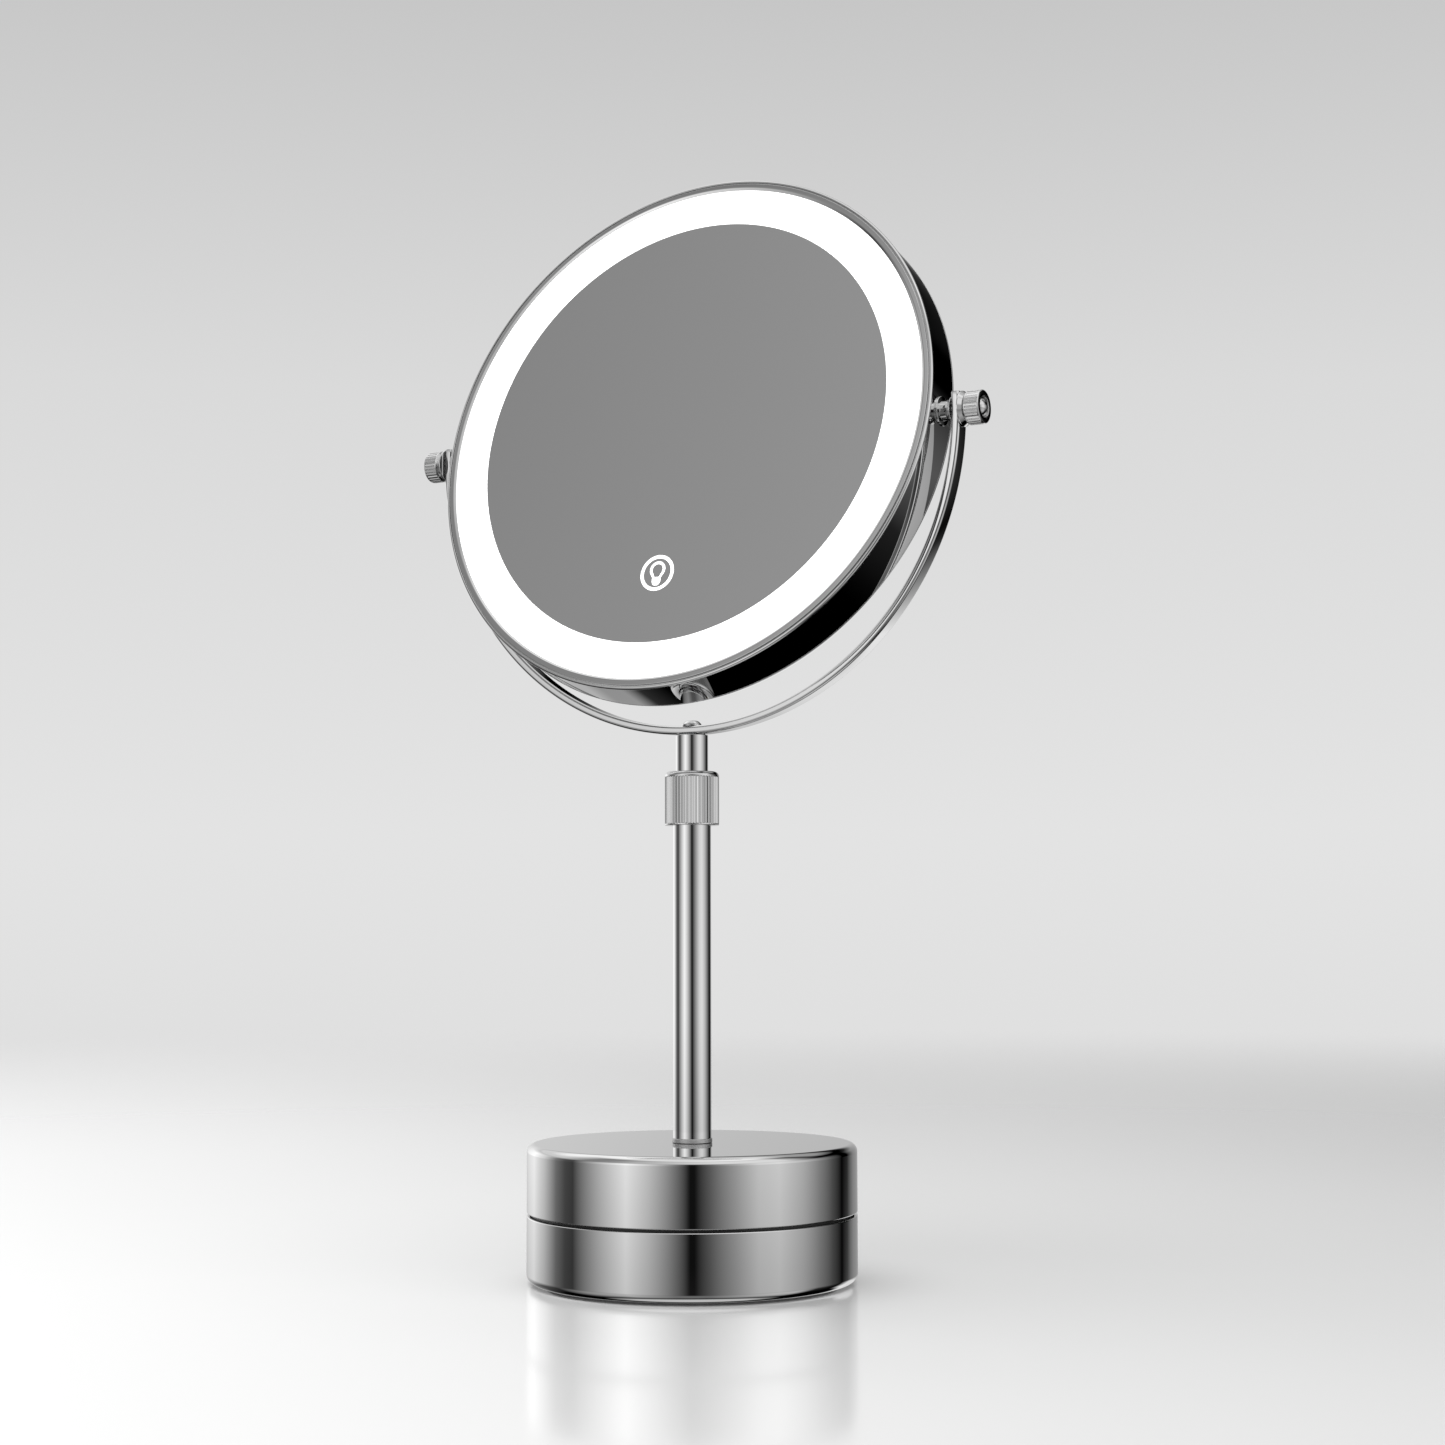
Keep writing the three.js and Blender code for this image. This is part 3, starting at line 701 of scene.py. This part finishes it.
@dataclass
class Knobs(Assembly):
    """The two fluted clamp knobs with their domed caps, and the studs that they screw on."""

    body: str = "head"
    radius: float = 6.0  # these sizes are in millimetres, and places are from the head's middle
    heel: float = 5.0
    bore: float = 2.6
    start: float = 112.3
    end: float = 118.6
    flutes: int = 28
    flute_depth: float = 0.36
    flute_width: float = 0.6  # share of the pitch
    flute_end: float = 0.15  # length over which a flute runs out
    rim: float = 0.6  # smooth band at the outer end
    recess_radius: float = 3.75
    recess_depth: float = 1.5
    dome_radius: float = 3.83
    dome_reach: float = 68 * DEG
    dome_rise: float = 1.0  # how far the dome stands out of the knob
    duct: float = 0.9  # the stud's bore for the leads
    stud_radius: float = 3.5
    stud_start: float = 94.8
    boss_radius: float = 5.3
    boss_start: float = 102.1
    boss_end: float = 102.8
    thread_radius: float = 2.2
    thread_start: float = 106.9
    thread_end: float = 117.0

    def build(self) -> None:
        """Builds a knob, a cap and a stud on each side."""
        for seat, side in ((Seat.LEFT_PIVOT, "left"), (Seat.RIGHT_PIVOT, "right")):
            self._stud(seat, side)
            self._knob(seat, side)
            self._cap(seat, side)

    def _stud(self, seat: Seat, side: str) -> None:
        """Builds the stud, with the boss that seats it on the head's wall."""
        radius, boss, thread = self.stud_radius, self.boss_radius, self.thread_radius
        outline = corners(
            (self.duct, self.stud_start), (radius, self.stud_start, 0.2), (radius, self.boss_start),
            (boss, self.boss_start, 0.1), (boss, self.boss_end - 0.05, 0.25), (radius, self.boss_end, 0.1),
            (radius, self.thread_start, 0.1), (thread, self.thread_start), (thread, self.thread_end, 0.2),
            (self.duct, self.thread_end),
        )
        self.keep(turned(f"pivot_stud_turned_{side}", outline, seat, 96), CHROME, f"pivot_stud_{side}")

    def _knob(self, seat: Seat, side: str) -> None:
        """Builds the knob: flutes between a tapered heel and a rolled rim round a recess."""
        low, high, radius, run = self.start, self.end, self.radius, self.flute_end
        flute_low, flute_high, floor = low + 1.0, high - self.rim, high - self.recess_depth
        outline = corners(
            (self.bore, low), (self.heel, low, 0.15), (radius, low + 0.75, 0.15), (radius, flute_low),
            (radius, flute_low + run), (radius, flute_high - run), (radius, flute_high),
            (radius, high, 0.5), (self.recess_radius, high, 0.15), (self.recess_radius, floor, 0.1),
            (self.bore, floor),
        )
        flutes = Flutes(self.flutes, self.flute_depth * MM, (flute_low + run / 2) * MM,
                        (flute_high - run / 2) * MM, self.flute_width)
        knob = turned(f"fluted_knob_{side}", outline, seat, flutes=flutes)
        self.keep(knob, FLUTED_CHROME, f"clamp_knob_{side}", f"knob_{side}")
        knob.data.materials.append(CHROME.material())  # for the outer end, which is polished
        for face in knob.data.polygons:
            face.material_index = int(abs(face.center.x) > flute_high * MM)

    def _cap(self, seat: Seat, side: str) -> None:
        """Builds the domed cap in the knob's recess."""
        top, floor, steps = self.end + self.dome_rise, self.end - self.recess_depth + 0.05, 10
        turns = [self.dome_reach * k / steps for k in range(steps + 1)]
        arc = [(self.dome_radius * math.sin(t), top - self.dome_radius * (1 - math.cos(t))) for t in turns]
        outline = corners((0, floor), (arc[-1][0], floor, 0.05), *reversed(arc))
        self.keep(turned(f"knob_dome_{side}", outline, seat, 96), CHROME, f"knob_cap_{side}", f"knob_{side}")


# ---- Head ----


@dataclass
class Head(Assembly):
    """The double-sided mirror head: wall, two bezels, lit front glass and magnifying back glass."""

    body: str = "head"
    front: float = 10.5  # these sizes are in millimetres, and heights are from the pivot axis
    back: float = -8.9
    wall: float = 102.0
    wall_thickness: float = 1.2
    stud_hole: float = 3.7
    bezel: float = 102.6
    bezel_height: float = 1.3
    window: float = 98.4
    lap: float = 0.95  # depth of the bezel's lip over the glass
    groove: float = 101.1  # inner radius of the fine groove
    groove_width: float = 0.35
    skirt: float = 100.5  # the bezel's skirt inside the wall
    skirt_thickness: float = 0.6
    skirt_depth: float = 4.0
    pane: float = 99.5
    glass_front: float = 9.5
    glass_back: float = 6.7
    glass_edge: float = 0.05
    mirror: float = 84.47
    sag: float = 4.8
    back_glass: float = 2.0  # thickness of the magnifying mirror
    steps: int = 384

    def build(self) -> None:
        """Builds the head's visible pieces."""
        self._wall()
        self._bezel("front_bezel_ring", "front_bezel", self.front, 1)
        self._bezel("back_bezel_ring", "back_bezel", self.back, -1)
        self._front_glass()
        self._back_glass()

    def _wall(self) -> None:
        """Builds the drum wall with the holes that the studs pass through."""
        low, high = self.back + self.bezel_height, self.front - self.bezel_height
        inner = self.wall - self.wall_thickness
        outline = corners((inner, low, 0.1), (self.bezel - 0.08, low, 0.1), (self.wall, high, 0.1),
                          (inner, high, 0.1))
        wall = turned("head_drum_wall", outline, Seat.HEAD, self.steps)
        for seat in (Seat.LEFT_PIVOT, Seat.RIGHT_PIVOT):
            bored(wall, self.stud_hole, seat, inner, self.wall)
        self.keep(wall, CHROME, "head_shell")

    def _bezel(self, name: str, node: str, face: float, sign: int) -> None:
        """Builds a bezel: a convex band over the glass edge, a fine groove, an outer bead and a skirt.

        Args:
            name: The piece's name.
            node: The frame node it stands for.
            face: Height of its highest point along the head's axis.
            sign: 1 on the lit side and -1 on the back.
        """
        def at(depth: float) -> float:
            """Height at this depth below the bezel's face."""
            return face - sign * depth

        groove_end, lap = self.groove + self.groove_width, at(self.lap)
        skirt_inside, skirt_end = self.skirt - self.skirt_thickness, at(self.skirt_depth)
        outline = corners(
            (self.window, lap), (self.window, at(0.5), 0.15), (self.window + 1.0, at(0.05), 1.2),
            (self.groove - 0.05, at(0.2), 0.2), (self.groove, lap), (groove_end, lap),
            (groove_end + 0.05, at(0.25), 0.25), (self.bezel, at(0.1), 0.8), (self.bezel, at(1.38), 0.1),
            (self.skirt, at(1.4)), (self.skirt, skirt_end, 0.1), (skirt_inside, skirt_end, 0.1),
            (skirt_inside, lap),
        )
        self.keep(turned(name, outline, Seat.HEAD, self.steps), CHROME, node)

    def _front_glass(self) -> None:
        """Builds the lit side: the plain mirror, the frosted ring round it and the key's mark."""
        low, high, edge = self.glass_back, self.glass_front, self.glass_edge
        disc = corners((0, low), (self.mirror, low, edge), (self.mirror, high, edge), (0, high))
        self.keep(turned("plain_mirror_glass", disc, Seat.HEAD, self.steps), SILVERED, "front_mirror")
        inner = self.mirror + edge
        ring = corners(
            (inner, low, edge), (self.pane, low, edge), (self.pane, high, edge), (inner, high, edge))
        self.keep(turned("frosted_light_ring", ring, Seat.HEAD, self.steps), FROSTED, "light_diffuser")
        TouchKey().build()

    def _back_glass(self) -> None:
        """Builds the hollow magnifying mirror, which lies deeper in the middle than at its edge."""
        rim = self.back + 1.0
        count = 24
        face = [(self.pane * i / count, rim + self.sag * (1 - (i / count) ** 2)) for i in range(count + 1)]
        reverse = [(r, z + self.back_glass) for r, z in reversed(face)]
        glass = turned("magnifying_mirror_glass", corners(*face, *reverse), Seat.HEAD, self.steps)
        self.keep(glass, SILVERED, "back_mirror")


@dataclass
class TouchKey(Assembly):
    """The lit mark of the touch key on the glass: a lamp in a ring."""

    # The lamp's cap, down its left side and up its right, from the middle of the mark.
    CAP: ClassVar[tuple] = ((-1.8, -1.8), (-1.8, -3.5), (-1.25, -4.6), (-0.6, -4.9),
                            (0.6, -4.9), (1.25, -4.6), (1.8, -3.5), (1.8, -1.8))
    CLEAR_BASE: ClassVar[tuple] = ((-0.95, -1.6), (0.95, -1.6))  # the flat end of the bulb's clear inside

    body: str = "head"
    below_middle: float = 57.6  # these sizes are in millimetres
    aside: float = -0.2
    glass_face: float = 9.5
    ring_outer: float = 6.95
    ring_inner: float = 5.65
    bulb_middle: float = 1.3
    bulb_outer: float = 3.2
    bulb_inner: float = 2.15
    neck: float = 32 * DEG  # how far below level the bulb runs on each side before the cap
    clear_neck: float = 30 * DEG
    proud: float = 0.03
    steps: int = 96

    def build(self) -> None:
        """Builds the ring and the lamp of the mark."""
        place = Matrix.Translation(Vector((self.aside, -self.below_middle, self.glass_face)) * MM)
        place = Seat.HEAD.matrix() @ place
        turns = [2 * math.pi * i / self.steps for i in range(self.steps)]
        ring = [[Vector((math.cos(t), math.sin(t))) * radius * MM for t in turns]
                for radius in (self.ring_outer, self.ring_inner)]
        outline = self._bulb(self.bulb_outer, self.neck) + [Vector(point) * MM for point in self.CAP]
        inside = self._bulb(self.bulb_inner, self.clear_neck) + [Vector(p) * MM for p in self.CLEAR_BASE]
        lamp = [[self._reach(loop, turn) for turn in turns] for loop in (outline, inside)]
        for name, loops in (("key_mark_ring", ring), ("key_mark_lamp", lamp)):
            verts = []
            for outer, inner in zip(*loops):
                for point, side in ((outer, -1), (outer, 1), (inner, 1), (inner, -1)):
                    verts.append(Vector((point.x, point.y, side * self.proud * MM)))
            self.keep(swept(name, verts, 4, place), ETCHED)

    def _bulb(self, radius: float, neck: float) -> list[Vector]:
        """Draws the round part of the bulb.

        Args:
            radius: The bulb's radius in millimetres.
            neck: How far below level it runs on each side.

        Returns:
            Points from the neck's right side over the top to its left, in metres.
        """
        count = 28
        turns = [-neck + (math.pi + 2 * neck) * i / count for i in range(count + 1)]
        middle = Vector((0, self.bulb_middle))
        return [(middle + Vector((math.cos(t), math.sin(t))) * radius) * MM for t in turns]

    @staticmethod
    def _reach(loop: Sequence[Vector], angle: float) -> Vector:
        """Finds where a ray from the bulb meets a loop.

        Args:
            loop: Points round the middle of the lamp.
            angle: The ray's direction.

        Returns:
            The point where the ray crosses the loop.
        """
        start = Vector((0, 0.5 * MM))  # inside the bulb, so that every ray meets a loop once
        ray = Vector((math.cos(angle), math.sin(angle)))
        for i, first in enumerate(loop):
            edge = loop[(i + 1) % len(loop)] - first
            across = ray.cross(edge)
            if across == 0:  # the ray runs along this edge
                continue
            along = (first - start).cross(edge) / across
            share = (first - start).cross(ray) / across
            if along > 0 and -TINY <= share <= 1 + TINY:
                return start + ray * along
        raise ValueError(f"a ray at {angle:.3f} rad meets no edge of the loop")


# ---- Hidden pieces ----


class HiddenPieces:
    """Frame nodes inside the object, which keep their solids."""

    FINISHES: ClassVar[dict[Finish, tuple[str, ...]]] = {
        CAST_IRON: ("ballast_disc",),
        BLACK_ABS: ("battery_tray", "slide_plug"),
        CELL_WRAP: tuple(f"battery_cell_{i}" for i in range(1, 5)),
        NICKEL: ("contact_plate_front", "contact_plate_back"),
        ZINC: ("pole_stud", "pole_washer", "pole_nut", "tube_insert", "top_plug", "pivot_nut_left",
               "pivot_nut_right"),
        BRASS: ("collet", "touch_sensor"),
        WHITE_ABS: ("inner_frame",),
        WHITE_BOARD: ("led_ring_board",),
        GREEN_BOARD: ("driver_board",),
        LEAD_PVC: ("pole_lead", "head_lead"),
    }

    def build(self) -> None:
        """Dresses each hidden node."""
        for finish, nodes in self.FINISHES.items():
            finish.dress(*(frame["nodes"][node] for node in nodes))
            LOG.info("%s: %s", finish.name, ", ".join(nodes))


# ---- Studio ----


@dataclass(frozen=True)
class Tier:
    """One tier of what stands round the object, as brightness by direction.

    Attributes:
        round_about: Degrees to the right of the camera, and brightness there.
        height: Degrees above the horizon, and the share of the brightness that is left there.
            Past its end stops a ramp stays level.
    """

    round_about: tuple
    height: tuple


@dataclass(frozen=True)
class Studio:
    """A pale floor under a soft studio of light panels and dark flags that chrome reflects."""

    panels: Tier = Tier(
        (
            (-180, 0.58),  # rear wall
            (-155, 1.15), (-142, 1.4), (-124, 0.9),  # softbox behind on the left
            (-108, 0.25), (-98, 0.1), (-90, 0.07),  # left flag
            (-74, 0.5), (-46, 1.32),  # softbox in front on the left
            (-30, 0.88), (-12, 0.3), (-2, 0.01), (2, 0.01),  # dark gap round the camera
            (12, 0.17), (30, 0.54), (46, 0.92), (62, 1.02),  # softbox in front on the right
            (82, 0.7), (98, 0.36), (113, 0.12), (126, 0.0), (136, 0.0),  # right flag
            (150, 0.3), (165, 0.42), (180, 0.58),
        ),
        ((-40, 0.0), (-20, 0.1), (-10, 0.5), (-2, 1.0), (13, 1.0), (21, 0.1), (25, 0.0)),
    )
    bounce: Tier = Tier(  # fainter light from the wall and ceiling on the left
        (
            (-180, 0.2), (-165, 0.85), (-110, 0.85), (-84, 0.29), (-75, 0.29), (-60, 0.38),
            (-45, 0.58), (-15, 0.75), (20, 1.0), (70, 1.0), (90, 0.3), (102, 0.0),
        ),
        ((13, 0.0), (24, 1.0), (46, 1.0), (62, 0.6), (72, 0.0)),
    )
    floor_behind: Tier = Tier(  # the lit floor far behind the object
        ((-180, 0.5), (-160, 0.15), (-140, 0.0), (126, 0.0), (142, 1.1), (168, 0.85), (180, 0.5)),
        ((-32, 0.0), (-27, 1.0), (-14, 0.8), (-8, 0.1), (-3, 0.0)),
    )
    ceiling: Tier = Tier(  # white ceiling right over the object
        ((0, 0.95),),
        ((54, 0.0), (66, 1.0)),
    )
    ground: Tier = Tier(  # the floor right under the object
        ((0, 0.7),),
        ((-70, 1.0), (-58, 0.0)),
    )
    floor_in_front: Tier = Tier(  # the floor between the object and the front softboxes
        (
            (-112, 0.0), (-80, 0.35), (-46, 0.55), (-12, 0.2), (12, 0.2), (46, 0.5), (62, 0.6),
            (82, 0.55), (98, 0.0),
        ),
        ((-58, 0.0), (-46, 0.6), (-36, 1.0), (-20, 0.9), (-12, 0.2), (-8, 0.0)),
    )
    rear_wall: Tier = Tier(  # the upper part of the wall behind the object
        ((-130, 0.5), (-110, 0.0), (100, 0.0), (120, 0.5)),
        ((30, 0.0), (40, 0.8), (54, 1.0), (66, 0.3), (72, 0.0)),
    )
    # Brightness by height of the plain backdrop that stands behind the object.
    backdrop: tuple = ((-90, 0.5), (-10, 0.7), (2, 0.77), (12, 0.7), (30, 0.42), (90, 0.3))
    floor_radius: float = 2.4
    fade_start: float = 0.5  # distance from the object where the floor starts to fade
    fade_end: float = 2.28
    key_power: float = 22.0
    key_size: float = 1.6
    key_place: tuple = (-0.2, -0.2, 1.5)
    key_lean: tuple = (0.12, -0.12, 0)

    @property
    def tiers(self) -> tuple[Tier, ...]:
        """All the tiers, which add up."""
        return (self.panels, self.bounce, self.floor_behind, self.ceiling, self.ground,
                self.floor_in_front, self.rear_wall)

    def build(self) -> None:
        """Builds the world, the floor and the overhead light."""
        self._world()
        self._floor()
        self._overhead()

    @staticmethod
    def _ramp(tree: bpy.types.NodeTree, stops: Sequence[tuple[float, float]], span: float,
              angle: bpy.types.NodeSocket) -> bpy.types.NodeSocket:
        """Adds a grey ramp over an angle.

        Args:
            tree: The node tree.
            stops: Degrees and brightness.
            span: Degrees from one end of the ramp to the other.
            angle: The angle in radians.

        Returns:
            The ramp's colour.
        """
        scaled = {"operation": "MULTIPLY_ADD", 1: 1 / (span * DEG), 2: 0.5}
        share = add_node(tree, "ShaderNodeMath", scaled, {0: angle})
        ramp = add_node(tree, "ShaderNodeValToRGB", links={"Fac": share.outputs["Value"]})
        elements = ramp.color_ramp.elements
        elements.remove(elements[1])
        for i, (degrees, value) in enumerate(stops):
            place = degrees / span + 0.5
            element = elements[0] if i == 0 else elements.new(place)
            element.position = place
            element.color = (value, value, value, 1.0)
        return ramp.outputs["Color"]

    def _world(self) -> None:
        """Builds the surroundings: what chrome reflects, and the plain backdrop behind the object."""
        world = bpy.data.worlds.new("soft_studio")
        bpy.context.scene.world = world
        world.use_nodes = True
        tree = world.node_tree
        tree.nodes.clear()
        place = add_node(tree, "ShaderNodeTexCoord")
        turned_place = add_node(tree, "ShaderNodeVectorRotate", {
            "rotation_type": "Z_AXIS", "Angle": -CAMERA_AZIMUTH}, {"Vector": place.outputs["Generated"]})
        parts = add_node(tree, "ShaderNodeSeparateXYZ", links={0: turned_place.outputs["Vector"]})
        ahead = add_node(tree, "ShaderNodeMath", {"operation": "MULTIPLY", 1: -1.0}, {0: parts.outputs["Y"]})
        azimuth = add_node(tree, "ShaderNodeMath", {"operation": "ARCTAN2"},
                           {0: parts.outputs["X"], 1: ahead.outputs["Value"]}).outputs["Value"]
        height = add_node(tree, "ShaderNodeMath", {"operation": "ARCSINE"},
                          {0: parts.outputs["Z"]}).outputs["Value"]
        lit = None
        for tier in self.tiers:
            part = add_node(tree, "ShaderNodeMixRGB", {"blend_type": "MULTIPLY", "Fac": 1.0}, {
                "Color1": self._ramp(tree, tier.round_about, 360, azimuth),
                "Color2": self._ramp(tree, tier.height, 180, height)}).outputs["Color"]
            lit = part if lit is None else add_node(tree, "ShaderNodeMixRGB", {
                "blend_type": "ADD", "Fac": 1.0}, {"Color1": lit, "Color2": part}).outputs["Color"]
        plain = self._ramp(tree, self.backdrop, 180, height)
        path = add_node(tree, "ShaderNodeLightPath")
        seen = add_node(tree, "ShaderNodeMixRGB", {}, {
            "Fac": path.outputs["Is Camera Ray"], "Color1": lit, "Color2": plain})
        light = add_node(tree, "ShaderNodeBackground", {"Strength": 1.0}, {"Color": seen.outputs["Color"]})
        add_node(tree, "ShaderNodeOutputWorld", {}, {"Surface": light.outputs["Background"]})

    def _floor(self) -> None:
        """Lays the floor, which fades into the backdrop with distance."""
        bpy.ops.mesh.primitive_circle_add(vertices=96, radius=self.floor_radius, fill_type="NGON")
        floor = bpy.context.object
        floor.name = "studio_floor"
        floor.visible_glossy = False
        material = bpy.data.materials.new("pale_lacquered_floor")
        material.use_nodes = True
        tree = material.node_tree
        tree.nodes.clear()
        place = add_node(tree, "ShaderNodeTexCoord")
        far = add_node(tree, "ShaderNodeVectorMath", {"operation": "LENGTH"}, {0: place.outputs["Object"]})
        fade = add_node(tree, "ShaderNodeMapRange", {
            "interpolation_type": "SMOOTHSTEP", "From Min": self.fade_start, "From Max": self.fade_end,
        }, {"Value": far.outputs["Value"]})
        shade = add_node(tree, "ShaderNodeBsdfPrincipled", {
            "Base Color": srgb("DCDCDC"), "Roughness": 0.1, "IOR": 1.45})
        clear = add_node(tree, "ShaderNodeBsdfTransparent")
        both = add_node(tree, "ShaderNodeMixShader", {}, {
            0: fade.outputs["Result"], 1: shade.outputs["BSDF"], 2: clear.outputs["BSDF"]})
        add_node(tree, "ShaderNodeOutputMaterial", {}, {"Surface": both.outputs["Shader"]})
        floor.data.materials.append(material)

    def _overhead(self) -> None:
        """Hangs a large soft light that chrome doesn't show."""
        light = bpy.data.lights.new("overhead_softbox", "AREA")
        light.shape, light.size, light.energy = "DISK", self.key_size, self.key_power
        lamp = bpy.data.objects.new("overhead_softbox", light)
        lamp.location = self.key_place
        lamp.rotation_euler = self.key_lean
        lamp.visible_glossy = False
        bpy.context.scene.collection.objects.link(lamp)


@dataclass(frozen=True)
class Viewpoint:
    """A level camera in front of the object and to its right, a little below the pivot."""

    distance: float = 0.93165
    height: float = 0.12921
    pitch: float = 4.559 * DEG
    aside: float = 0.688 * DEG  # how far right of the pole it looks
    roll: float = 0.12 * DEG
    focal_length: float = 63.1
    sensor: float = 36.0

    def build(self) -> None:
        """Places the camera and makes it the scene's own."""
        data = bpy.data.cameras.new("studio_camera")
        data.lens, data.sensor_width, data.clip_start = self.focal_length, self.sensor, 0.01
        camera = bpy.data.objects.new("studio_camera", data)
        side, front = math.sin(CAMERA_AZIMUTH), math.cos(CAMERA_AZIMUTH)
        camera.location = (self.distance * side, -self.distance * front, self.height)
        camera.rotation_euler = (math.pi / 2 + self.pitch, self.roll, CAMERA_AZIMUTH - self.aside)
        bpy.context.scene.collection.objects.link(camera)
        bpy.context.scene.camera = camera


def main() -> None:
    """Builds the camera, the sub-assemblies and the studio in order."""
    logging.basicConfig(level=logging.INFO, format="%(name)s: %(message)s")
    bpy.context.scene.view_settings.view_transform = "Standard"
    Viewpoint().build()
    for assembly in (Base(), Pole(), Yoke(), Knobs(), Head()):
        assembly.build()
    HiddenPieces().build()
    Studio().build()


if __name__ == "__main__":
    main()
